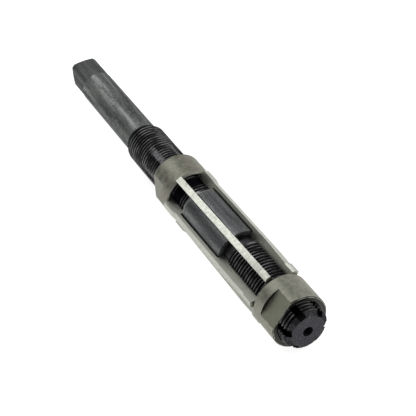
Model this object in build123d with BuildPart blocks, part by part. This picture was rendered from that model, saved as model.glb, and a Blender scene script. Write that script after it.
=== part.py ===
from build123d import *
import math
import os

# Adjustable hand reamer with six inserted blades, lying along X with its nose towards +X.
# Millimetres. The axis of the tool is the X axis, and x = 0 is the end of the drive square.

# lengths along the axis, from the drive square to the nose
square_length = 14.4
shank_length = 44.0
rear_thread_length = 52.2
middle_length = 28.1
neck_length = 4.9
front_thread_length = 41.0
rear_thread_chamfer = 3.5
neck_shoulder_cone = 0.5
nose_chamfer_length = 1.5

# body
shank_radius = 6.75
square_across_flats = 10.6
square_turn = 4.3
square_face_radius = 4.6
square_crown = 0.7
thread_radius = 8.15
middle_radius = 9.4
middle_back_chamfer = 0.4
neck_depth = 0.8
nose_chamfer_depth = 1.95
centre_hole_radius = 1.9
centre_pilot_radius = 0.7
centre_pilot_depth = 4.2
centre_hole_angle = 60.0

# slots that carry the blades, their floors inclined towards the nose, and each slot cut askew to the
# left so that a right-hand cut doesn't pull the tool in
blade_count = 6
blade_skew = 0.7
blade_thickness = 2.5
blade_offset = -0.7
blade_side_clearance = 0.03
blade_floor_clearance = 0.04
slot_taper = 1.0
slot_depth_at_middle = 1.05
slot_reach = 34.6
slot_cutter_radius = 30.0
slot_cutter_exit = 15.0
cut_overrun = 1.0

# blades, as long as the space between the nuts' faces
blade_length = 65.3
blade_setback = 9.9
cutting_radius = 11.2
land_relief = 0.3
land_margin = 0.5
rear_rest_length = 8.7
rear_rest_rise = 0.3
lead_length = 14.0
lead_drop = 0.55
front_rest_length = 5.9
front_rest_drop = 0.1
front_edge_chamfer = 0.7
rear_face_gap = 0.2
front_face_gap = 0.6
blade_tail_gap = 0.15
blade_hook_clearance = 0.1
travel_out = 22.0

# nuts
nut_wall = 2.2
nut_length = 13.4
nut_running_clearance = 0.05
recess_depth = 2.4
recess_seat_step = 0.65
recess_cone_step = 0.75
rim_chamfer = 0.5
outer_chamfer = 0.35
mouth_flare = 0.45
mouth_depth = 0.45
flat_depth = 1.55
flat_length = 8.2
rear_nut_turn = 3.2
front_nut_turn = 141.7

# stations along the axis, worked out from the lengths
shank_end = square_length + shank_length
middle_start = shank_end + rear_thread_length
middle_end = middle_start + middle_length
middle_centre = (middle_start + middle_end) / 2
front_thread_start = middle_end + neck_length
nose_end = front_thread_start + front_thread_length
rear_nut_face = middle_start - blade_setback
front_nut_face = rear_nut_face + blade_length
rear_rest_end = rear_nut_face + rear_rest_length
lead_end = front_nut_face - front_rest_length
lead_start = lead_end - lead_length
slot_run_out = middle_start - slot_reach
slot_mouth = nose_end + cut_overrun

# radii worked out from the sizes above
neck_radius = thread_radius - neck_depth
nose_face_radius = thread_radius - nose_chamfer_depth
bore_radius = thread_radius + nut_running_clearance
nut_radius = bore_radius + nut_wall
recess_seat_radius = bore_radius + recess_seat_step
recess_mouth_radius = recess_seat_radius + recess_cone_step
mouth_radius = bore_radius + mouth_flare
rest_radius = cutting_radius + rear_rest_rise
front_rest_radius = cutting_radius - front_rest_drop
taper_slope = math.tan(math.radians(slot_taper))
skew_slope = math.tan(math.radians(blade_skew))
slot_width = blade_thickness + 2 * blade_side_clearance
step_angle = 360.0 / blade_count
crown_centre = (shank_radius**2 - square_face_radius**2 + square_crown**2) / (2 * square_crown)
crown_radius = math.hypot(crown_centre, square_face_radius)

# the tool lies on the corners of two blades, turned about its axis until both are level
half_step = math.radians(step_angle / 2)
rest_offset = blade_offset + skew_slope * (middle_centre - (rear_nut_face + rear_rest_end) / 2)
corner_rise = -2 * rest_offset * math.sin(half_step)
corner_span = 2 * rest_radius * math.sin(half_step) - blade_thickness * math.cos(half_step)
rest_turn = math.degrees(math.atan2(corner_rise, corner_span))


def floor_radius(x):
    """Radius of the inclined slot floor at station x, above the tool's axis."""
    return thread_radius - slot_depth_at_middle - taper_slope * (x - middle_centre)


def centre_drill(x, inward):
    """Outline of a centre hole at station x, going inward along the axis."""
    cone = (centre_hole_radius - centre_pilot_radius) / math.tan(math.radians(centre_hole_angle / 2))
    return [
        (x - inward, 0),
        (x - inward, centre_hole_radius),
        (x, centre_hole_radius),
        (x + inward * cone, centre_pilot_radius),
        (x + inward * centre_pilot_depth, centre_pilot_radius),
        (x + inward * centre_pilot_depth, 0),
    ]


def outward_at(turn):
    """Unit vector out from the axis, so many degrees round from the first blade."""
    angle = math.radians(rest_turn + turn)
    return Vector(0, math.cos(angle), math.sin(angle))


def blade_plane(number):
    """Plane of blade slot number: its x along the slot, its y outwards, through the blade's middle."""
    outward = outward_at(number * step_angle)
    sideways = Vector(1, 0, 0).cross(outward)
    skew_axis = Axis((0, 0, 0), outward)
    along = Vector(1, 0, 0).rotate(skew_axis, blade_skew)
    origin = Vector(middle_centre, 0, 0) + sideways * blade_offset - along * middle_centre
    return Plane(origin=origin, x_dir=along, z_dir=sideways.rotate(skew_axis, blade_skew))


def across_slot(plane, x):
    """Plane across a blade slot at station x, facing the nose: its y outwards, the cutting edge at -x."""
    return Plane(origin=plane.origin + plane.x_dir * x, x_dir=-plane.z_dir, z_dir=plane.x_dir)


# body: one turned and milled bar with the drive square, both threads, the neck and the six slots
with BuildPart() as reamer_body:
    with BuildSketch(Plane.XY) as bar_outline:
        with BuildLine():
            end_face = Line((0, 0), (0, square_face_radius))
            crown = RadiusArc(end_face @ 1, (square_crown, shank_radius), crown_radius)
            Polyline(
                crown @ 1,
                (shank_end, shank_radius),
                (shank_end + rear_thread_chamfer, thread_radius),
                (middle_start - middle_back_chamfer, thread_radius),
                (middle_start, middle_radius - middle_back_chamfer),
                (middle_start + middle_back_chamfer, middle_radius),
                (middle_end, middle_radius),
                (middle_end + neck_shoulder_cone, neck_radius),
                (front_thread_start - (thread_radius - neck_radius), neck_radius),
                (front_thread_start, thread_radius),
                (nose_end - nose_chamfer_length, thread_radius),
                (nose_end, nose_face_radius),
                (nose_end, 0),
                end_face @ 0,
            )
        make_face()
    revolve(axis=Axis.X)
    with BuildSketch(Plane.XY) as centre_holes:
        with BuildLine():
            Polyline(*centre_drill(0, 1), close=True)
        make_face()
        with BuildLine():
            Polyline(*centre_drill(nose_end, -1), close=True)
        make_face()
    revolve(axis=Axis.X, mode=Mode.SUBTRACT)
    with BuildSketch(Plane.YZ) as square_waste:
        Circle(shank_radius + cut_overrun)
        Rectangle(
            square_across_flats,
            square_across_flats,
            rotation=rest_turn + square_turn,
            mode=Mode.SUBTRACT,
        )
    extrude(amount=square_length, mode=Mode.SUBTRACT)
    for number in range(blade_count):
        with BuildSketch(blade_plane(number)) as slot_side:
            with BuildLine():
                floor_line = Line(
                    (slot_mouth, floor_radius(slot_mouth)),
                    (slot_run_out, floor_radius(slot_run_out)),
                )
                run_out_arc = JernArc(floor_line @ 1, floor_line % 1, slot_cutter_radius, -slot_cutter_exit)
                Polyline(
                    run_out_arc @ 1,
                    ((run_out_arc @ 1).X, middle_radius + cut_overrun),
                    (slot_mouth, middle_radius + cut_overrun),
                    floor_line @ 0,
                )
            make_face()
        extrude(amount=slot_width / 2, both=True, mode=Mode.SUBTRACT)

reamer_body.part.label = "reamer_body"
os.makedirs("parts", exist_ok=True)
export_step(reamer_body.part, "parts/reamer_body.step")

# blades: flat bars with an inclined underside, ground lands, raised ends and hooks under the nuts
rear_hook_end = rear_nut_face - recess_depth + blade_tail_gap
front_hook_end = front_nut_face + recess_depth - blade_tail_gap
edge_side = -blade_thickness / 2
back_side = blade_thickness / 2


def underside(x):
    """Radius of the blade's underside at station x."""
    return floor_radius(x) + blade_floor_clearance


def hook_radius(recess_radius):
    """Height of a hook whose far corner clears the recess when the blades stand furthest out."""
    skew_reach = skew_slope * (front_hook_end - middle_centre)
    corner_reach = blade_thickness / 2 + abs(blade_offset) + skew_reach
    return math.sqrt(recess_radius**2 - corner_reach**2) - travel_out * taper_slope - blade_hook_clearance


for number in range(blade_count):
    plane = blade_plane(number)
    with BuildPart() as blade:
        with BuildSketch(plane) as blade_side:
            with BuildLine():
                Polyline(
                    (rear_hook_end, underside(rear_hook_end)),
                    (rear_hook_end, hook_radius(recess_seat_radius)),
                    (rear_nut_face + rear_face_gap, hook_radius(recess_mouth_radius)),
                    (rear_nut_face + rear_face_gap, rest_radius),
                    (rear_rest_end, rest_radius),
                    (rear_rest_end + rear_rest_rise, cutting_radius),
                    (lead_start, cutting_radius),
                    (lead_end, cutting_radius - lead_drop),
                    (lead_end + lead_drop, front_rest_radius),
                    (front_nut_face - front_face_gap, front_rest_radius),
                    (front_nut_face - front_face_gap, hook_radius(recess_mouth_radius)),
                    (front_hook_end, hook_radius(recess_seat_radius)),
                    (front_hook_end, underside(front_hook_end)),
                    close=True,
                )
            make_face()
        extrude(amount=blade_thickness / 2, both=True)
        # relief behind the cutting edge, ground along the working length only
        with BuildSketch(across_slot(plane, rear_rest_end)) as relief_section:
            with BuildLine():
                Polyline(
                    (edge_side + land_margin, cutting_radius),
                    (back_side, cutting_radius - land_relief),
                    (back_side + cut_overrun, cutting_radius - land_relief),
                    (back_side + cut_overrun, cutting_radius + cut_overrun),
                    (edge_side + land_margin, cutting_radius + cut_overrun),
                    close=True,
                )
            make_face()
        extrude(amount=lead_end - rear_rest_end, mode=Mode.SUBTRACT)
        # the cutting edge is broken off along the unground front end
        with BuildSketch(across_slot(plane, lead_end)) as edge_section:
            with BuildLine():
                Polyline(
                    (edge_side, front_rest_radius - front_edge_chamfer),
                    (edge_side - cut_overrun, front_rest_radius - front_edge_chamfer),
                    (edge_side - cut_overrun, front_rest_radius + cut_overrun),
                    (edge_side + front_edge_chamfer, front_rest_radius + cut_overrun),
                    (edge_side + front_edge_chamfer, front_rest_radius),
                    close=True,
                )
            make_face()
        extrude(amount=front_nut_face - lead_end, mode=Mode.SUBTRACT)
    blade.part.label = f"blade_{number + 1}"
    export_step(blade.part, f"parts/blade_{number + 1}.step")

# nuts: a round nut with a recess for the blade ends, and two milled flats for a spanner
for name, face, away, turn in (
    ("rear_nut", rear_nut_face, -1, rear_nut_turn),
    ("front_nut", front_nut_face, 1, front_nut_turn),
):
    outer_end = face + away * nut_length
    with BuildPart() as nut:
        with BuildSketch(Plane.XY) as nut_section:
            with BuildLine():
                Polyline(
                    (face, recess_mouth_radius),
                    (face, nut_radius - rim_chamfer),
                    (face + away * rim_chamfer, nut_radius),
                    (outer_end - away * outer_chamfer, nut_radius),
                    (outer_end, nut_radius - outer_chamfer),
                    (outer_end, mouth_radius),
                    (outer_end - away * mouth_depth, bore_radius),
                    (face + away * recess_depth, bore_radius),
                    (face + away * recess_depth, recess_seat_radius),
                    close=True,
                )
            make_face()
        revolve(axis=Axis.X)
        flat_start = outer_end - away * flat_length
        flat_plane = Plane(origin=(flat_start, 0, 0), x_dir=outward_at(turn), z_dir=(away, 0, 0))
        with BuildSketch(flat_plane) as flat_waste:
            Circle(nut_radius + cut_overrun)
            Rectangle(2 * (nut_radius - flat_depth), 2 * (nut_radius + cut_overrun), mode=Mode.SUBTRACT)
        extrude(amount=flat_length + cut_overrun, mode=Mode.SUBTRACT)
    nut.part.label = name
    export_step(nut.part, f"parts/{name}.step")
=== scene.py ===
from math import atan2, cos, degrees, hypot, radians, sin, sqrt, tan

import bpy
from mathutils import Matrix, Vector


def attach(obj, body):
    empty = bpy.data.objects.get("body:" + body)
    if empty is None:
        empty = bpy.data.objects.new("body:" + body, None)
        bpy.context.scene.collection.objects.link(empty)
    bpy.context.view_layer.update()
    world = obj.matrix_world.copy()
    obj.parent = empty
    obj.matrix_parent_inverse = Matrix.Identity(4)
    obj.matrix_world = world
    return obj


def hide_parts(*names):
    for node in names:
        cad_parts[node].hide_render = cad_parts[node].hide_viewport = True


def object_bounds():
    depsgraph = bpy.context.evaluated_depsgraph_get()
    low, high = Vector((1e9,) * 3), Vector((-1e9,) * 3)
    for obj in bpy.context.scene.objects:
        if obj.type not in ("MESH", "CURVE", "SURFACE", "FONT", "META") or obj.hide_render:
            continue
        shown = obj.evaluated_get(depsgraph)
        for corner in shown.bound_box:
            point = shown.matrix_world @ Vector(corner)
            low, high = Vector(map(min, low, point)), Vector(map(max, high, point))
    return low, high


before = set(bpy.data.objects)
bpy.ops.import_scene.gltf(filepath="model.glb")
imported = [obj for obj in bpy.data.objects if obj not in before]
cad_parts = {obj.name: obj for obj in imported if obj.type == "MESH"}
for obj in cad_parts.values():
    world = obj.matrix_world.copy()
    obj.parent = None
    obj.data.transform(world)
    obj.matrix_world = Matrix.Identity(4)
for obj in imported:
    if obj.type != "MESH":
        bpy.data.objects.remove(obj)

# sizes are in millimetres here, and mm turns them into the scene's metres
mm = 0.001
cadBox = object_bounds()
print("frame loaded")


# small tools for modelling

mergeDistance = 0.002    # points nearer than this become one
smoothAngle = 28         # in degrees, and sharper edges stay sharp
cutterOverrun = 1.0      # how far a cutter reaches past the metal


def deselectAll():
    bpy.ops.object.select_all(action="DESELECT")


def makeActive(piece):
    deselectAll()
    piece.select_set(True)
    bpy.context.view_layer.objects.active = piece


def applyModifier(piece, kind, **settings):
    modifier = piece.modifiers.new(kind.lower(), kind)
    for setting, value in settings.items():
        setattr(modifier, setting, value)
    makeActive(piece)
    bpy.ops.object.modifier_apply(modifier=modifier.name)


def cutAway(piece, cutter):
    applyModifier(piece, "BOOLEAN", object=cutter, operation="DIFFERENCE", solver="EXACT")
    bpy.data.objects.remove(cutter)


def breakEdges(piece, width, angle, **settings):
    # edges that turn by more than the angle lose their sharpness
    applyModifier(
        piece, "BEVEL", width=width * mm, segments=2, limit_method="ANGLE", angle_limit=radians(angle),
        **settings,
    )


def smooth(piece):
    makeActive(piece)
    bpy.ops.object.shade_smooth_by_angle(angle=radians(smoothAngle))
    applyModifier(piece, "WEIGHTED_NORMAL", keep_sharp=True)


def joinPieces(pieces):
    deselectAll()
    for piece in pieces:
        piece.select_set(True)
    bpy.context.view_layer.objects.active = pieces[0]
    bpy.ops.object.join()
    return pieces[0]


def selectVerts(piece, isWanted):
    # picks vertices by their place, in millimetres, and leaves the piece in edit mode
    bpy.ops.object.mode_set(mode="EDIT")
    bpy.ops.mesh.select_mode(type="VERT")
    bpy.ops.mesh.select_all(action="DESELECT")
    bpy.ops.object.mode_set(mode="OBJECT")
    for vertex in piece.data.vertices:
        vertex.select = isWanted(vertex.co / mm)
    bpy.ops.object.mode_set(mode="EDIT")


def finishMesh(piece):
    bpy.ops.object.mode_set(mode="EDIT")
    bpy.ops.mesh.select_all(action="SELECT")
    bpy.ops.mesh.remove_doubles(threshold=mergeDistance * mm)
    bpy.ops.mesh.normals_make_consistent(inside=False)
    bpy.ops.object.mode_set(mode="OBJECT")


def turnedShape(name, stations, segments, isRing=False):
    # a circle is extruded and scaled from station to station, each one (place along the axis, radius)
    deselectAll()
    start, radius = stations[0]
    bpy.ops.mesh.primitive_circle_add(
        vertices=segments, radius=radius * mm, fill_type="NOTHING" if isRing else "NGON",
        location=(start * mm, 0, 0), rotation=(0, radians(90), 0),
    )
    piece = bpy.context.object
    piece.name = name
    bpy.ops.object.transform_apply(location=True, rotation=True, scale=True)
    bpy.ops.object.mode_set(mode="EDIT")
    bpy.ops.mesh.select_all(action="SELECT")
    for place, nextRadius in stations[1:]:
        growth = nextRadius / radius
        bpy.ops.mesh.extrude_region_move(TRANSFORM_OT_translate={"value": ((place - start) * mm, 0, 0)})
        bpy.ops.transform.resize(value=(1, growth, growth), center_override=(place * mm, 0, 0))
        start, radius = place, nextRadius
    bpy.ops.object.mode_set(mode="OBJECT")
    finishMesh(piece)
    return piece


def box(lowCorner, highCorner):
    deselectAll()
    low, high = Vector(lowCorner) * mm, Vector(highCorner) * mm
    bpy.ops.mesh.primitive_cube_add(size=1, location=(low + high) / 2, scale=high - low)
    bpy.ops.object.transform_apply(location=True, rotation=True, scale=True)
    return bpy.context.object


def turnedCopies(piece, angles):
    # one copy for each angle about the tool's axis, and the first piece goes
    copies = []
    for angle in angles:
        twin = piece.copy()
        twin.data = piece.data.copy()
        bpy.context.collection.objects.link(twin)
        twin.data.transform(Matrix.Rotation(radians(angle), 4, "X"))
        copies.append(twin)
    bpy.data.objects.remove(piece)
    return copies


# the tool lies on two of its blades, turned so that both touch
blades = {
    "count": 6, "thickness": 2.5, "offset": 0.7, "skew": 0.7, "middle": 124.65,
    "restRadius": 11.5, "restPlace": 105.05, "edgeBreak": 0.06, "breakAngle": 20, "flatAngle": 0.2,
    "step": 109.5, "stepReach": 0.6, "stepTop": 11.4, "stepEase": 2.4,
}
restOffset = blades["offset"] - tan(radians(blades["skew"])) * (blades["middle"] - blades["restPlace"])
restHeight = blades["restRadius"] - blades["thickness"] * cos(radians(180 / blades["count"]))
restTurn = degrees(atan2(restOffset, restHeight))
# a cutter is modelled at the top of the tool, 90 degrees round from +Y, hence the 90 taken off here
bladeAngles = [restTurn + 360 / blades["count"] * number - 90 for number in range(blades["count"])]


# body: a turned bar, then the square, the slots and the two threads are cut

body = {
    "segments": 96,
    "shankRadius": 6.75, "shankEnd": 58.4, "rearThreadStart": 61.9,
    "crownCentre": 17.78, "crownRadii": (4.6, 5.2, 5.8, 6.3, 6.75),
    "middleStart": 110.6, "middleEnd": 138.7, "middleRadius": 9.4, "middleChamfer": 0.4,
    "neckStart": 139.2, "neckEnd": 142.8, "neckRadius": 7.35,
    "frontThreadStart": 143.6, "threadRadius": 8.15,
    "noseEnd": 184.6, "noseChamfer": 1.5, "noseFaceRadius": 6.2,
    "centreRadius": 1.9, "pilotRadius": 0.7, "pilotDepth": 4.2, "centreConeDepth": 2.078,
    "squareLength": 14.4, "squareAcrossFlats": 10.6, "squareTurn": 4.3, "squareCutterWidth": 0.97,
    "edgeBreak": 0.09, "breakAngle": 30,
}
slots = {
    "runOut": 78.5, "bend": 103.0, "floorAtMiddle": 7.1, "taper": 1.0, "sideClearance": 0.03, "top": 10.6,
    "cutterRadius": 30.0, "exitAngle": 15, "exitSteps": 6, "exitReach": 8.0,
}
slotBreak = {"width": 0.15, "depth": 0.2}
# how a slot's faces are told from others: their slack in millimetres, and the slant of normals along the axis
slotMarks = {"wallSlack": 0.01, "breakSlack": 0.02, "endSlant": 0.5, "centreHoleSlant": 0.95}
thread = {
    "pitch": 1.5, "flankAngle": 30, "rearDepth": 0.62, "frontDepth": 0.92, "crestFlat": 0.19,
    "overrun": 0.15, "rearEndGap": 1.1, "frontLead": 0.1,
}
slotHalfWidth = blades["thickness"] / 2 + slots["sideClearance"]


def floorRadius(place):
    return slots["floorAtMiddle"] - tan(radians(slots["taper"])) * (place - blades["middle"])


def makeSkewed(cutter):
    # the slots run askew, turned about the middle of the blade
    pivot = Matrix.Translation(Vector((blades["middle"], blades["offset"], 0)) * mm)
    cutter.data.transform(pivot @ Matrix.Rotation(radians(blades["skew"]), 4, "Z") @ pivot.inverted())


def slotCutters():
    mouth = body["noseEnd"] + cutterOverrun
    cutter = box(
        (slots["bend"], blades["offset"] - slotHalfWidth, floorRadius(mouth)),
        (mouth, blades["offset"] + slotHalfWidth, slots["top"]),
    )
    # the floor rises towards the shank
    selectVerts(cutter, lambda at: at.x < blades["middle"] and at.z < body["threadRadius"])
    bpy.ops.transform.translate(value=(0, 0, (floorRadius(slots["bend"]) - floorRadius(mouth)) * mm))
    # from the bend, just in front of the rear nut, the floor runs level towards the shank
    selectVerts(cutter, lambda at: at.x < blades["middle"])
    bpy.ops.mesh.extrude_region_move(
        TRANSFORM_OT_translate={"value": ((slots["runOut"] - slots["bend"]) * mm, 0, 0)},
    )
    # the slot leaves the metal along the arc of the wheel that cut it
    arcCentre = (slots["runOut"], blades["offset"], floorRadius(slots["bend"]) + slots["cutterRadius"])
    bpy.ops.mesh.spin(
        steps=slots["exitSteps"], angle=-radians(slots["exitAngle"]), center=Vector(arcCentre) * mm,
        axis=(0, 1, 0),
    )
    bpy.ops.object.mode_set(mode="OBJECT")
    finishMesh(cutter)
    makeSkewed(cutter)
    return joinPieces(turnedCopies(cutter, bladeAngles))


def slotBreakCutters():
    # the slots' arrises are broken along the middle, where a wedge is taken off each side
    low, high = body["middleRadius"] - slotBreak["depth"], body["middleRadius"] + slotBreak["depth"]
    cutter = box(
        (body["middleStart"] - cutterOverrun, blades["offset"] - slotHalfWidth, low),
        (body["middleEnd"] + cutterOverrun, blades["offset"] + slotHalfWidth, high),
    )
    selectVerts(cutter, lambda at: at.z > body["middleRadius"])
    bpy.ops.transform.resize(
        value=(1, 1 + 2 * slotBreak["width"] / slotHalfWidth, 1),
        center_override=(blades["middle"] * mm, blades["offset"] * mm, 0),
    )
    bpy.ops.object.mode_set(mode="OBJECT")
    makeSkewed(cutter)
    return joinPieces(turnedCopies(cutter, bladeAngles))


def squareCutters():
    # each cutter is a little narrower than the square, so that the four don't touch
    flat = body["squareAcrossFlats"] / 2
    side = flat * body["squareCutterWidth"]
    outside = body["shankRadius"] + cutterOverrun
    cutter = box((-cutterOverrun, -side, flat), (body["squareLength"], side, outside))
    turn = restTurn + body["squareTurn"]
    return joinPieces(turnedCopies(cutter, [turn + 90 * number for number in range(4)]))


def threadCutter(start, end, depth):
    # the groove's section is wound along a right-hand helix
    deselectAll()
    outer = body["threadRadius"] + thread["overrun"]
    root = body["threadRadius"] - depth
    slope = tan(radians(thread["flankAngle"]))
    outerHalf = (thread["pitch"] - thread["crestFlat"]) / 2 + slope * thread["overrun"]
    rootHalf = outerHalf - slope * (outer - root)
    bpy.ops.mesh.primitive_plane_add(
        size=1, location=(start * mm, 0, (outer + root) / 2 * mm), rotation=(radians(90), 0, 0),
    )
    cutter = bpy.context.object
    cutter.scale = (2 * outerHalf * mm, (outer - root) * mm, 1)
    bpy.ops.object.transform_apply(location=True, rotation=True, scale=True)
    selectVerts(cutter, lambda at: at.z < (outer + root) / 2)
    bpy.ops.transform.resize(value=(rootHalf / outerHalf, 1, 1), center_override=(start * mm, 0, 0))
    bpy.ops.mesh.select_all(action="SELECT")
    bpy.ops.mesh.delete(type="ONLY_FACE")
    bpy.ops.object.mode_set(mode="OBJECT")
    turns = round((end - start) / thread["pitch"])
    applyModifier(
        cutter, "SCREW", axis="X", angle=radians(360), screw_offset=thread["pitch"] * mm, iterations=turns,
        steps=body["segments"], render_steps=body["segments"], use_merge_vertices=False,
    )
    finishMesh(cutter)
    # each open end gets a face
    halfway = start + turns * thread["pitch"] / 2
    for isEnd in (lambda at: at.x < halfway, lambda at: at.x > halfway):
        bpy.ops.object.mode_set(mode="EDIT")
        bpy.ops.mesh.select_mode(type="VERT")
        bpy.ops.mesh.select_all(action="DESELECT")
        bpy.ops.mesh.select_non_manifold(
            extend=False, use_wire=False, use_multi_face=False, use_non_contiguous=False, use_verts=False,
        )
        bpy.ops.object.mode_set(mode="OBJECT")
        for vertex in cutter.data.vertices:
            vertex.select = vertex.select and isEnd(vertex.co / mm)
        bpy.ops.object.mode_set(mode="EDIT")
        bpy.ops.mesh.edge_face_add()
        bpy.ops.object.mode_set(mode="OBJECT")
    finishMesh(cutter)
    return cutter


def markSlotFaces(piece):
    # the slots' floors and walls, their broken arrises and the centre holes take the second finish, painted
    # shade
    turns = [Matrix.Rotation(-radians(angle), 4, "X") for angle in bladeAngles]
    for face in piece.data.polygons:
        radius = hypot(face.center.y, face.center.z) / mm
        slant = abs(face.normal.x)
        if radius < body["centreRadius"] and slant < slotMarks["centreHoleSlant"]:
            face.material_index = 1
        place = face.center.x / mm
        if place < slots["runOut"] - slots["exitReach"] or slant > slotMarks["endSlant"]:
            continue
        halfWidth = slotHalfWidth + slotMarks["wallSlack"]
        if radius > body["middleRadius"] - slotBreak["depth"]:
            halfWidth += slotBreak["width"] - slotMarks["breakSlack"]
        line = blades["offset"] + tan(radians(blades["skew"])) * (place - blades["middle"])
        for turn in turns:
            centre = turn @ face.center / mm
            if centre.z > 0 and abs(centre.y - line) < halfWidth:
                face.material_index = 1


def makeBody():
    # the drive end is slightly domed
    crown = hypot(body["crownCentre"], body["crownRadii"][0])
    dome = [(body["crownCentre"] - sqrt(crown ** 2 - radius ** 2), radius) for radius in body["crownRadii"]]
    piece = turnedShape("reamerBody", [
        (body["pilotDepth"], body["pilotRadius"]),
        (body["centreConeDepth"], body["pilotRadius"]),
        (0, body["centreRadius"]),
        *dome,
        (body["shankEnd"], body["shankRadius"]),
        (body["rearThreadStart"], body["threadRadius"]),
        (body["middleStart"] - body["middleChamfer"], body["threadRadius"]),
        (body["middleStart"], body["middleRadius"] - body["middleChamfer"]),
        (body["middleStart"] + body["middleChamfer"], body["middleRadius"]),
        (body["middleEnd"], body["middleRadius"]),
        (body["neckStart"], body["neckRadius"]),
        (body["neckEnd"], body["neckRadius"]),
        (body["frontThreadStart"], body["threadRadius"]),
        (body["noseEnd"] - body["noseChamfer"], body["threadRadius"]),
        (body["noseEnd"], body["noseFaceRadius"]),
        (body["noseEnd"], body["centreRadius"]),
        (body["noseEnd"] - body["centreConeDepth"], body["pilotRadius"]),
        (body["noseEnd"] - body["pilotDepth"], body["pilotRadius"]),
    ], body["segments"])
    cutAway(piece, squareCutters())
    breakEdges(piece, body["edgeBreak"], body["breakAngle"])
    cutAway(piece, slotCutters())
    cutAway(piece, slotBreakCutters())
    print("body turned and slotted", len(piece.data.polygons), "faces")
    rearEnd = body["middleStart"] - thread["rearEndGap"]
    cutAway(piece, threadCutter(body["shankEnd"], rearEnd, thread["rearDepth"]))
    frontStart = body["frontThreadStart"] - thread["frontLead"]
    cutAway(piece, threadCutter(frontStart, body["noseEnd"] + cutterOverrun, thread["frontDepth"]))
    markSlotFaces(piece)
    smooth(piece)
    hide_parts("reamer_body")
    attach(piece, "reamer_body")
    print("threads cut", len(piece.data.polygons), "faces")
    return piece


bodyPiece = makeBody()


# nuts: turned rings with a recess for the blade ends, and two flats

nuts = {
    "segments": 128, "radius": 10.4, "length": 13.4, "boreRadius": 8.2,
    "recessDepth": 2.4, "recessSeatRadius": 8.85, "recessMouthRadius": 9.6, "rimChamfer": 0.5,
    "outerChamfer": 0.35, "mouthRadius": 8.65, "mouthDepth": 0.45,
    "flatDepth": 1.55, "flatLength": 8.2, "edgeBreak": 0.12, "breakAngle": 28,
    "rearFace": 100.7, "rearTurn": 3.2, "frontFace": 166.0, "frontTurn": 141.7,
    "endSlant": 0.6, "endsBeyond": 2.9,
}


def makeNut(name, face, away, turn):
    # away is 1 where the nut's outer end points to the nose, and -1 where it points to the shank
    end = face + away * nuts["length"]
    piece = turnedShape(name + "Turned", [
        (face, nuts["recessMouthRadius"]),
        (face, nuts["radius"] - nuts["rimChamfer"]),
        (face + away * nuts["rimChamfer"], nuts["radius"]),
        (end - away * nuts["outerChamfer"], nuts["radius"]),
        (end, nuts["radius"] - nuts["outerChamfer"]),
        (end, nuts["mouthRadius"]),
        (end - away * nuts["mouthDepth"], nuts["boreRadius"]),
        (face + away * nuts["recessDepth"], nuts["boreRadius"]),
        (face + away * nuts["recessDepth"], nuts["recessSeatRadius"]),
        (face, nuts["recessMouthRadius"]),
    ], nuts["segments"], isRing=True)
    flat = nuts["radius"] - nuts["flatDepth"]
    ends = sorted((end - away * nuts["flatLength"], end + away * cutterOverrun))
    cutter = box(
        (ends[0], -nuts["radius"], flat),
        (ends[1], nuts["radius"], nuts["radius"] + cutterOverrun),
    )
    cutAway(piece, joinPieces(turnedCopies(cutter, [restTurn + turn - 90, restTurn + turn + 90])))
    # the outer end and the shoulders of the flats take the second finish, painted dark as shade, and the
    # broken edges the third
    for number in range(3):
        piece.data.materials.append(None)
    for polygon in piece.data.polygons:
        depth = abs(polygon.center.x / mm - face)
        if abs(polygon.normal.x) > nuts["endSlant"] and depth > nuts["endsBeyond"]:
            polygon.material_index = 1
    breakEdges(piece, nuts["edgeBreak"], nuts["breakAngle"], material=2)
    smooth(piece)
    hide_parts(name)
    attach(piece, name)
    print(name, "made", len(piece.data.polygons), "faces")
    return piece


nutPieces = [
    makeNut("rear_nut", nuts["rearFace"], -1, nuts["rearTurn"]),
    makeNut("front_nut", nuts["frontFace"], 1, nuts["frontTurn"]),
]


# blades: the CAD bars with their sharp arrises taken off

def makeBlade(number):
    node = f"blade_{number + 1}"
    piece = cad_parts[node].copy()
    piece.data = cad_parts[node].data.copy()
    piece.parent = None
    for key in list(piece.keys()):
        del piece[key]
    piece.name = node + "Ground"
    bpy.context.collection.objects.link(piece)
    makeActive(piece)
    bpy.ops.object.mode_set(mode="EDIT")
    bpy.ops.mesh.select_all(action="SELECT")
    bpy.ops.mesh.remove_doubles(threshold=mergeDistance * mm)
    bpy.ops.mesh.dissolve_limited(angle_limit=radians(blades["flatAngle"]))
    bpy.ops.object.mode_set(mode="OBJECT")
    # the step in front of the raised rear end is eased: its top edge moves back along the blade
    upright = Matrix.Rotation(-radians(bladeAngles[number]), 4, "X")
    selectVerts(piece, lambda at: (
        abs(at.x - blades["step"]) < blades["stepReach"] and (upright @ at).z > blades["stepTop"]
    ))
    forward = Matrix.Rotation(radians(bladeAngles[number]), 4, "X") @ Vector((
        cos(radians(blades["skew"])), sin(radians(blades["skew"])), 0,
    ))
    bpy.ops.transform.translate(value=-forward * blades["stepEase"] * mm)
    bpy.ops.object.mode_set(mode="OBJECT")
    breakEdges(piece, blades["edgeBreak"], blades["breakAngle"])
    smooth(piece)
    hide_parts(node)
    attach(piece, node)
    return piece


bladePieces = [makeBlade(number) for number in range(blades["count"])]
print("blades made", len(bladePieces[0].data.polygons), "faces each")


# materials

def linearColour(hexCode):
    # sRGB hex to the linear values that the shader works in
    channels = [int(hexCode[place:place + 2], 16) / 255 for place in (1, 3, 5)]
    return [c / 12.92 if c <= 0.04045 else ((c + 0.055) / 1.055) ** 2.4 for c in channels] + [1]


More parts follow.
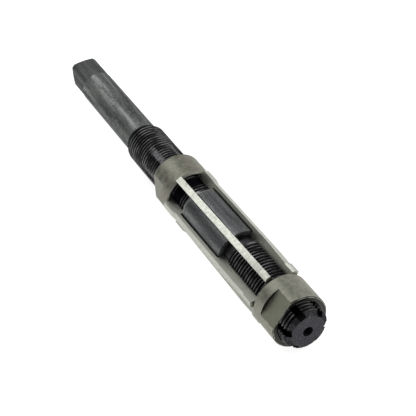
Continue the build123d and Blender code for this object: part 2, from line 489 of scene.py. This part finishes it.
def addNode(material, kind, inputs=(), **settings):
    # one node, its settings, and its inputs: a socket is linked and anything else is a value
    # sockets by number: a map range has its value at 0, the range it reads at 1 and 2, and the range that
    # this becomes at 3 and 4; a mix has its factor at 0, two numbers at 2 and 3, and two colours at 6 and 7
    tree = material.node_tree
    node = tree.nodes.new(kind)
    for setting, value in settings.items():
        setattr(node, setting, value)
    for socket, value in dict(inputs).items():
        if isinstance(value, bpy.types.NodeSocket):
            tree.links.new(value, node.inputs[socket])
        else:
            node.inputs[socket].default_value = value
    return node


def newMaterial(name):
    material = bpy.data.materials.new(name)
    material.use_nodes = True
    material.node_tree.nodes.clear()
    return material


def finishMaterial(material, inputs):
    shader = addNode(material, "ShaderNodeBsdfPrincipled", inputs)
    addNode(material, "ShaderNodeOutputMaterial", {"Surface": shader.outputs["BSDF"]})
    return material


def placeOnTool(material):
    # a point of the piece, how far along the tool it lies and its radius, in metres
    where = addNode(material, "ShaderNodeTexCoord").outputs["Object"]
    along = addNode(material, "ShaderNodeSeparateXYZ", {0: where}).outputs[0]
    across = addNode(material, "ShaderNodeMapping", {"Vector": where, "Scale": (0, 1, 1)})
    radius = addNode(material, "ShaderNodeVectorMath", {0: across.outputs[0]}, operation="LENGTH")
    return where, along, radius.outputs["Value"]


def dress(piece, *materials):
    # the faces keep the finish that they were marked with
    marks = [face.material_index for face in piece.data.polygons]
    piece.data.materials.clear()
    for material in materials:
        piece.data.materials.append(material)
    piece.data.polygons.foreach_set("material_index", marks)


# black oxide on turned steel: a thin dark skin that still shines on the shank; the grooves are painted darker
# as the shade in them, and the crests lighter, abraded and with a painted highlight
oxide = {
    "shank": "#949694", "shankDark": "#555857", "speck": "#959692",
    "middle": "#7a7c7d", "middleDark": "#5a5c5d", "edge": "#b0b0ac",
    "groove": "#19191b", "thread": "#3b3b3d", "crest": "#8f9090", "nutShadow": "#151418", "neck": "#4c4c4e",
    "cone": "#343437", "end": "#464549", "endSpeck": "#838286",
    # the slots' near black is painted shade over black oxide, and the shallow rear ends are lighter
    "slot": "#111113", "rearSlot": "#6c6c6e", "glance": "#b4b4b6",
    # the square's flats are darkened by this share, a painted shade
    "roughness": 0.48, "threadRoughness": 0.38, "slotRoughness": 0.42, "squareShade": 0.6,
    "rearSlotPlaces": (90.0, 86.0),
}
# a finish comes in between two places along the bar, or two radii: none of it at the first, all at the second
barPlaces = {
    # the two places that bound the painted shadow of the rear nut on the thread come first
    "square": (14.7, 14.2), "thread": (58.4, 60.0), "nutShadowRear": (99.8, 100.4), "nutShadowFront": (107.2, 105.2),
    "edge": (111.6, 111.0), "neckRear": (138.9, 139.3), "neckFront": (143.2, 142.8),
    "cone": (183.1, 183.3), "end": (184.5, 184.55),
}
# the thread's colour darkens towards its roots as painted shade, and lightens on the crests
barRadii = {"groove": (7.3, 8.0), "crest": (7.95, 8.12), "middle": (8.3, 8.8)}


def blackOxideSteel():
    material = newMaterial("blackOxideTurnedSteel")
    where, along, radius = placeOnTool(material)
    # streaks run along the bar, about 2 mm wide and 25 mm long, and smudges about 1 mm across lie over them
    streakPlace = addNode(material, "ShaderNodeMapping", {"Vector": where, "Scale": (40, 480, 480)})
    streaks = addNode(material, "ShaderNodeTexNoise", {
        "Vector": streakPlace.outputs[0], "Scale": 1, "Detail": 5,
    })
    smudges = addNode(material, "ShaderNodeTexNoise", {"Vector": where, "Scale": 950, "Detail": 4})
    mixed = addNode(material, "ShaderNodeMix", {
        0: 0.3, 2: streaks.outputs[0], 3: smudges.outputs[0],
    }, data_type="FLOAT").outputs[0]
    streaky = addNode(material, "ShaderNodeMapRange", {0: mixed, 1: 0.38, 2: 0.62}).outputs[0]
    # specks where the skin has gone, about half a millimetre across
    specks = addNode(material, "ShaderNodeTexNoise", {"Vector": where, "Scale": 1900, "Detail": 3}).outputs[0]
    isSpeck = addNode(material, "ShaderNodeMapRange", {0: specks, 1: 0.54, 2: 0.74, 4: 0.55}).outputs[0]
    # how far each finish has come in at the point's place and radius
    isAt = {}
    for value, fades in ((along, barPlaces), (radius, barRadii)):
        for name, (none, whole) in fades.items():
            fade = addNode(material, "ShaderNodeMapRange", {0: value, 1: none * mm, 2: whole * mm})
            isAt[name] = fade.outputs[0]
    # the thread just in front of the rear nut is painted dark as the shadow of the nut, the neck, out of
    # reach of the nuts, keeps an even grey skin, and the flats of the square are painted darker as shade
    for name, first, second in (
        ("nutShadow", isAt["nutShadowRear"], isAt["nutShadowFront"]),
        ("neck", isAt["neckRear"], isAt["neckFront"]),
        ("edge", isAt["edge"], isAt["middle"]),
        ("square", isAt["square"], oxide["squareShade"]),
    ):
        both = addNode(material, "ShaderNodeMath", {0: first, 1: second}, operation="MULTIPLY")
        isAt[name] = both.outputs[0]
    # patches about 4 mm across lighten the threads' crests, as abrasion with a painted highlight, and lighten
    # the middle's rear edge
    patches = addNode(material, "ShaderNodeTexNoise", {"Vector": where, "Scale": 260, "Detail": 3}).outputs[0]
    crestAbrasionAndHighlight = addNode(material, "ShaderNodeMapRange", {
        0: patches, 1: 0.4, 2: 0.62, 4: isAt["crest"],
    }).outputs[0]
    lighterRearEdge = addNode(material, "ShaderNodeMapRange", {
        0: patches, 1: 0.3, 2: 0.6, 4: isAt["edge"],
    }).outputs[0]
    # the skin of each part is a colour with others laid over it, as far as their masks say
    skins = {}
    for name, base, layers in (
        ("shank", "shankDark", (
            (streaky, "shank"), (isSpeck, "speck"), (isAt["square"], "shankDark"),
        )),
        ("thread", "groove", (
            (isAt["groove"], "thread"), (crestAbrasionAndHighlight, "crest"), (isAt["nutShadow"], "nutShadow"), (isAt["neck"], "neck"),
        )),
        ("middle", "middleDark", ((streaky, "middle"), (isSpeck, "speck"))),
        ("edge", "edge", ()),
        ("cone", "cone", ((isSpeck, "endSpeck"),)),
        ("end", "end", ((isSpeck, "endSpeck"),)),
    ):
        skin = linearColour(oxide[base])
        for mask, upper in layers:
            laid = addNode(material, "ShaderNodeMix", {
                0: mask, 6: skin, 7: linearColour(oxide[upper]),
            }, data_type="RGBA")
            skin = laid.outputs[2]
        skins[name] = skin
    # the parts follow one another from the shank to the nose
    colour = skins["shank"]
    for mask, name in (
        (isAt["thread"], "thread"), (isAt["middle"], "middle"), (lighterRearEdge, "edge"),
        (isAt["cone"], "cone"), (isAt["end"], "end"),
    ):
        laid = addNode(material, "ShaderNodeMix", {0: mask, 6: colour, 7: skins[name]}, data_type="RGBA")
        colour = laid.outputs[2]
    # the specks are a little rougher than the rest, and the light streaks a little smoother
    roughness = addNode(material, "ShaderNodeMapRange", {
        0: isAt["thread"], 3: oxide["roughness"], 4: oxide["threadRoughness"],
    }).outputs[0]
    for pattern, low, high, change in ((specks, 0.3, 0.7, 0.04), (mixed, 0.4, 0.6, -0.05)):
        uneven = addNode(material, "ShaderNodeMapRange", {0: pattern, 1: low, 2: high, 3: -change, 4: change})
        added = addNode(material, "ShaderNodeMath", {0: roughness, 1: uneven.outputs[0]}, operation="ADD")
        roughness = added.outputs[0]
    # lines left by turning, 0.3 mm apart
    lines = addNode(material, "ShaderNodeTexWave", {
        "Vector": where, "Scale": 1050, "Distortion": 1.5, "Detail": 2,
    }, bands_direction="X")
    grain = addNode(material, "ShaderNodeMix", {
        0: 0.6, 2: lines.outputs[1], 3: specks,
    }, data_type="FLOAT").outputs[0]
    bump = addNode(material, "ShaderNodeBump", {"Height": grain, "Strength": 0.08, "Distance": 0.03 * mm})
    return finishMaterial(material, {
        "Base Color": colour, "Metallic": 1.0, "Roughness": roughness, "Normal": bump.outputs[0],
        "Specular Tint": linearColour(oxide["glance"]),
    })


# black oxide left thick and oily in the milled slots, painted nearly black as the shade in them, and matt
def blackSlotSteel():
    material = newMaterial("blackOxideSlotsAndShade")
    where = addNode(material, "ShaderNodeTexCoord").outputs["Object"]
    along = addNode(material, "ShaderNodeSeparateXYZ", {0: where}).outputs[0]
    # the shallow ends behind the rear nut, with less painted shade, are lighter, in marks about 1 mm across
    none, whole = oxide["rearSlotPlaces"]
    isRear = addNode(material, "ShaderNodeMapRange", {0: along, 1: none * mm, 2: whole * mm}).outputs[0]
    marks = addNode(material, "ShaderNodeTexNoise", {"Vector": where, "Scale": 900, "Detail": 3})
    rubbed = addNode(material, "ShaderNodeMapRange", {0: marks.outputs[0], 1: 0.25, 2: 0.65, 4: isRear})
    colour = addNode(material, "ShaderNodeMix", {
        0: rubbed.outputs[0], 6: linearColour(oxide["slot"]), 7: linearColour(oxide["rearSlot"]),
    }, data_type="RGBA")
    return finishMaterial(material, {
        "Base Color": colour.outputs[2], "Metallic": 1.0, "Roughness": oxide["slotRoughness"],
    })


# mild steel, turned and left bright, now dulled: a beige grey with brown and green stains and fine lines
nutFinish = {
    "light": "#98988b", "dark": "#76776b", "brown": "#8d8076", "green": "#6e7162", "rubbed": "#c6c6b8",
    # the end colours are painted shade on the nuts' ends and shoulders
    "flat": "#a2a492", "rearFlat": "#a8a8a2", "end": "#4c4c49", "endDark": "#3c3c3a", "edge": "#cfcdc0",
    "smoothest": 0.37, "roughest": 0.53, "endRoughness": 0.42, "edgeRoughness": 0.35,
    "frontRub": 0.15, "frontPlaces": (120, 150),
    "flatShare": 0.6, "flatRoughness": 0.22, "flatRadii": (10.36, 10.3),
}


def turnedSteel():
    material = newMaterial("dulledTurnedSteel")
    where, along, radius = placeOnTool(material)
    # mottling about 1.5 mm across, with stains of 5 mm over it
    mottle = addNode(material, "ShaderNodeTexNoise", {
        "Vector": where, "Scale": 650, "Detail": 5, "Roughness": 0.6,
    }).outputs[0]
    mottled = addNode(material, "ShaderNodeMapRange", {0: mottle, 1: 0.38, 2: 0.62}).outputs[0]
    stains = addNode(material, "ShaderNodeTexNoise", {"Vector": where, "Scale": 200, "Detail": 3}).outputs[0]
    isBrown = addNode(material, "ShaderNodeMapRange", {0: stains, 1: 0.5, 2: 0.68, 4: 0.35}).outputs[0]
    isGreen = addNode(material, "ShaderNodeMapRange", {0: stains, 1: 0.48, 2: 0.3, 4: 0.6}).outputs[0]
    # the front nut is handled more, and rubbed a little brighter
    none, whole = nutFinish["frontPlaces"]
    isFront = addNode(material, "ShaderNodeMapRange", {0: along, 1: none * mm, 2: whole * mm}).outputs[0]
    rubbed = addNode(material, "ShaderNodeMath", {
        0: isFront, 1: nutFinish["frontRub"],
    }, operation="MULTIPLY").outputs[0]
    # the flats lie inside the outer radius, and are silvery on the rear nut and olive on the front one,
    # lighter partly as milled finish and partly as painted light
    flat = addNode(material, "ShaderNodeMix", {
        0: isFront, 6: linearColour(nutFinish["rearFlat"]), 7: linearColour(nutFinish["flat"]),
    }, data_type="RGBA").outputs[2]
    none, whole = nutFinish["flatRadii"]
    isFlat = addNode(material, "ShaderNodeMapRange", {
        0: radius, 1: none * mm, 2: whole * mm, 4: nutFinish["flatShare"],
    }).outputs[0]
    colour = linearColour(nutFinish["dark"])
    for mask, upper in (
        (mottled, linearColour(nutFinish["light"])),
        (isBrown, linearColour(nutFinish["brown"])),
        (isGreen, linearColour(nutFinish["green"])),
        (rubbed, linearColour(nutFinish["rubbed"])),
        (isFlat, flat),
    ):
        laid = addNode(material, "ShaderNodeMix", {0: mask, 6: colour, 7: upper}, data_type="RGBA")
        colour = laid.outputs[2]
    # the milled flats are rougher than the turned faces
    uneven = addNode(material, "ShaderNodeMapRange", {
        0: mottle, 1: 0.3, 2: 0.7, 3: nutFinish["smoothest"], 4: nutFinish["roughest"],
    })
    milled = addNode(material, "ShaderNodeMath", {
        0: isFlat, 1: nutFinish["flatRoughness"],
    }, operation="MULTIPLY")
    roughness = addNode(material, "ShaderNodeMath", {
        0: uneven.outputs[0], 1: milled.outputs[0],
    }, operation="ADD")
    # turning lines 0.25 mm apart
    lines = addNode(material, "ShaderNodeTexWave", {
        "Vector": where, "Scale": 1250, "Distortion": 2, "Detail": 2,
    }, bands_direction="X")
    grain = addNode(material, "ShaderNodeMix", {
        0: 0.5, 2: lines.outputs[1], 3: mottle,
    }, data_type="FLOAT").outputs[0]
    bump = addNode(material, "ShaderNodeBump", {"Height": grain, "Strength": 0.15, "Distance": 0.04 * mm})
    return finishMaterial(material, {
        "Base Color": colour, "Metallic": 1.0, "Roughness": roughness.outputs[0], "Normal": bump.outputs[0],
    })


# the nuts' outer ends and shoulders: mild steel painted dark as shade, in mottling about 1 mm across
def shadedNutSteel():
    material = newMaterial("nutEndsPaintedShade")
    where = addNode(material, "ShaderNodeTexCoord").outputs["Object"]
    mottle = addNode(material, "ShaderNodeTexNoise", {"Vector": where, "Scale": 900, "Detail": 4})
    colour = addNode(material, "ShaderNodeMix", {
        0: mottle.outputs[0], 6: linearColour(nutFinish["endDark"]), 7: linearColour(nutFinish["end"]),
    }, data_type="RGBA")
    return finishMaterial(material, {
        "Base Color": colour.outputs[2], "Metallic": 1.0, "Roughness": nutFinish["endRoughness"],
    })


# the nuts' edges, rubbed bright by the spanner and by handling and painted bright as edge highlights, in
# patches about 2 mm across
def rubbedAndHighlitSteel():
    material = newMaterial("rubbedEdgesPaintedHighlight")
    where = addNode(material, "ShaderNodeTexCoord").outputs["Object"]
    rub = addNode(material, "ShaderNodeTexNoise", {"Vector": where, "Scale": 500, "Detail": 3})
    rubbed = addNode(material, "ShaderNodeMapRange", {0: rub.outputs[0], 1: 0.38, 2: 0.55})
    colour = addNode(material, "ShaderNodeMix", {
        0: rubbed.outputs[0], 6: linearColour(nutFinish["dark"]), 7: linearColour(nutFinish["edge"]),
    }, data_type="RGBA")
    return finishMaterial(material, {
        "Base Color": colour.outputs[2], "Metallic": 1.0, "Roughness": nutFinish["edgeRoughness"],
    })


# high-speed steel, surface ground: pale and bright, with grinding lines along the blade and a few dull marks
bladeFinish = {
    # the near black is painted shade along the blades' seats
    "light": "#c8cac0", "dark": "#bbbdb4", "dull": "#a2a39c", "seatShade": "#2b2b2a",
    "smoothest": 0.28, "roughest": 0.43,
    "seatShadeTop": (9.9, 9.75), "seatShadeRear": (109.8, 110.6), "seatShadeFront": (139.5, 138.7),
}


def groundToolSteel():
    material = newMaterial("groundToolSteel")
    where, along, radius = placeOnTool(material)
    # grinding lines 0.2 mm wide and 8 mm long
    linePlace = addNode(material, "ShaderNodeMapping", {"Vector": where, "Scale": (120, 5000, 5000)})
    lines = addNode(material, "ShaderNodeTexNoise", {
        "Vector": linePlace.outputs[0], "Scale": 1, "Detail": 3,
    }).outputs[0]
    lined = addNode(material, "ShaderNodeMapRange", {0: lines, 1: 0.3, 2: 0.7}).outputs[0]
    # dull marks about 1.4 mm across
    marks = addNode(material, "ShaderNodeTexNoise", {"Vector": where, "Scale": 700, "Detail": 4}).outputs[0]
    isMark = addNode(material, "ShaderNodeMapRange", {0: marks, 1: 0.55, 2: 0.75, 4: 0.35}).outputs[0]
    # painted shade lies low on the sides, along the seats, between the two ends of the body's middle
    seatShade = 1.0
    for value, side in ((radius, "seatShadeTop"), (along, "seatShadeRear"), (along, "seatShadeFront")):
        none, whole = bladeFinish[side]
        seatShade = addNode(material, "ShaderNodeMapRange", {
            0: value, 1: none * mm, 2: whole * mm, 4: seatShade,
        }).outputs[0]
    colour = linearColour(bladeFinish["dark"])
    for mask, upper in ((lined, "light"), (isMark, "dull"), (seatShade, "seatShade")):
        laid = addNode(material, "ShaderNodeMix", {
            0: mask, 6: colour, 7: linearColour(bladeFinish[upper]),
        }, data_type="RGBA")
        colour = laid.outputs[2]
    roughness = addNode(material, "ShaderNodeMapRange", {
        0: marks, 1: 0.3, 2: 0.7, 3: bladeFinish["smoothest"], 4: bladeFinish["roughest"],
    })
    bump = addNode(material, "ShaderNodeBump", {"Height": lines, "Strength": 0.2, "Distance": 0.02 * mm})
    return finishMaterial(material, {
        "Base Color": colour, "Metallic": 1.0, "Roughness": roughness.outputs[0], "Normal": bump.outputs[0],
    })


dress(bodyPiece, blackOxideSteel(), blackSlotSteel())
nutSteel, nutShade, nutEdges = turnedSteel(), shadedNutSteel(), rubbedAndHighlitSteel()
for nutPiece in nutPieces:
    dress(nutPiece, nutSteel, nutShade, nutEdges)
bladeSteel = groundToolSteel()
for bladePiece in bladePieces:
    dress(bladePiece, bladeSteel)
print("materials given")


# studio: a white floor and backdrop behind the tool, a dimmer room on the camera's side, and soft lamps,
# in metres and watts

studio = {
    "toolMiddle": (0.1, 0, 0),
    "floorSize": 6.0, "floorColour": "#e6e6e4", "floorGlow": 0.8, "floorShine": 0.54,
    "worldLight": 0.45, "dimSide": 0.22, "whiteSide": 0.8, "dimFrom": -0.15, "whiteFrom": 0.68,
}
lamps = {
    "topLamp": {"place": (-0.53, -0.19, 0.61), "width": 0.56, "height": 0.6, "power": 1.68},
    "backLamp": {"place": (0.75, 0.6, 0.7), "width": 0.5, "height": 0.5, "power": 1.0},
}


def raysOf(material):
    # what the camera sees, also through glass, and what the metals mirror
    paths = addNode(material, "ShaderNodeLightPath").outputs
    seen = addNode(material, "ShaderNodeMath", {
        0: paths["Is Camera Ray"], 1: paths["Is Transmission Ray"],
    }, operation="MAXIMUM")
    return seen.outputs[0], paths["Is Glossy Ray"]


# pale painted board: a matt white that the camera sees evenly lit
def makeFloor():
    deselectAll()
    bpy.ops.mesh.primitive_plane_add(
        size=studio["floorSize"], location=(studio["toolMiddle"][0], 0, cadBox[0][2]),
    )
    floor = bpy.context.object
    floor.name = "floor"
    material = newMaterial("paleBoard")
    seen, mirrored = raysOf(material)
    glow = addNode(material, "ShaderNodeMath", {0: seen, 1: studio["floorGlow"]}, operation="MULTIPLY")
    shine = addNode(material, "ShaderNodeMath", {0: mirrored, 1: studio["floorShine"]}, operation="MULTIPLY")
    strength = addNode(material, "ShaderNodeMath", {
        0: glow.outputs[0], 1: shine.outputs[0],
    }, operation="MAXIMUM")
    board = addNode(material, "ShaderNodeBsdfDiffuse", {"Color": linearColour(studio["floorColour"])})
    light = addNode(material, "ShaderNodeEmission", {"Color": (1, 1, 1, 1), "Strength": strength.outputs[0]})
    both = addNode(material, "ShaderNodeAddShader", {0: board.outputs[0], 1: light.outputs[0]})
    addNode(material, "ShaderNodeOutputMaterial", {"Surface": both.outputs[0]})
    dress(floor, material)


def makeWorld():
    world = bpy.data.worlds.new("studioRoom")
    world.use_nodes = True
    world.node_tree.nodes.clear()
    bpy.context.scene.world = world
    # in the metals the room goes from white behind the tool, at +Y, to dim in front of it
    heading = addNode(world, "ShaderNodeTexCoord").outputs["Generated"]
    sides = addNode(world, "ShaderNodeSeparateXYZ", {0: heading})
    room = addNode(world, "ShaderNodeMapRange", {
        0: sides.outputs[1], 1: studio["dimFrom"], 2: studio["whiteFrom"],
        3: studio["dimSide"], 4: studio["whiteSide"],
    }, interpolation_type="SMOOTHSTEP")
    seen, mirrored = raysOf(world)
    plain = addNode(world, "ShaderNodeMapRange", {0: seen, 3: studio["worldLight"], 4: 1.0})
    strength = addNode(world, "ShaderNodeMix", {
        0: mirrored, 2: plain.outputs[0], 3: room.outputs[0],
    }, data_type="FLOAT")
    air = addNode(world, "ShaderNodeBackground", {"Color": (1, 1, 1, 1), "Strength": strength.outputs[0]})
    addNode(world, "ShaderNodeOutputWorld", {"Surface": air.outputs[0]})


def addLamp(name, place, width, height, power):
    deselectAll()
    bpy.ops.object.light_add(type="AREA", location=place)
    lamp = bpy.context.object
    lamp.name = name
    lamp.data.shape = "RECTANGLE"
    lamp.data.size = width
    lamp.data.size_y = height
    lamp.data.energy = power
    aim = Vector(studio["toolMiddle"]) - Vector(place)
    lamp.rotation_euler = aim.to_track_quat("-Z", "Y").to_euler()


makeFloor()
makeWorld()
for lampName, lampSettings in lamps.items():
    addLamp(lampName, **lampSettings)


# camera: the photograph's own angle, found from the tool's outline in it
camera = {
    "place": (0.45702, -0.18867, 0.29012), "aim": (0.11095, 0.00141, 0.00093), "roll": 2.069,
    "lens": 115.5, "sensor": 36, "nearest": 0.01,
}


def makeCamera():
    deselectAll()
    bpy.ops.object.camera_add(location=camera["place"])
    viewer = bpy.context.object
    viewer.name = "photoCamera"
    viewer.data.lens = camera["lens"]
    viewer.data.sensor_width = camera["sensor"]
    viewer.data.clip_start = camera["nearest"]
    aimed = (Vector(camera["aim"]) - Vector(camera["place"])).to_track_quat("-Z", "Y").to_matrix().to_4x4()
    viewer.rotation_euler = (aimed @ Matrix.Rotation(radians(camera["roll"]), 4, "Z")).to_euler()
    bpy.context.scene.camera = viewer


makeCamera()
bpy.context.scene.view_settings.view_transform = "Standard"
print("studio set")
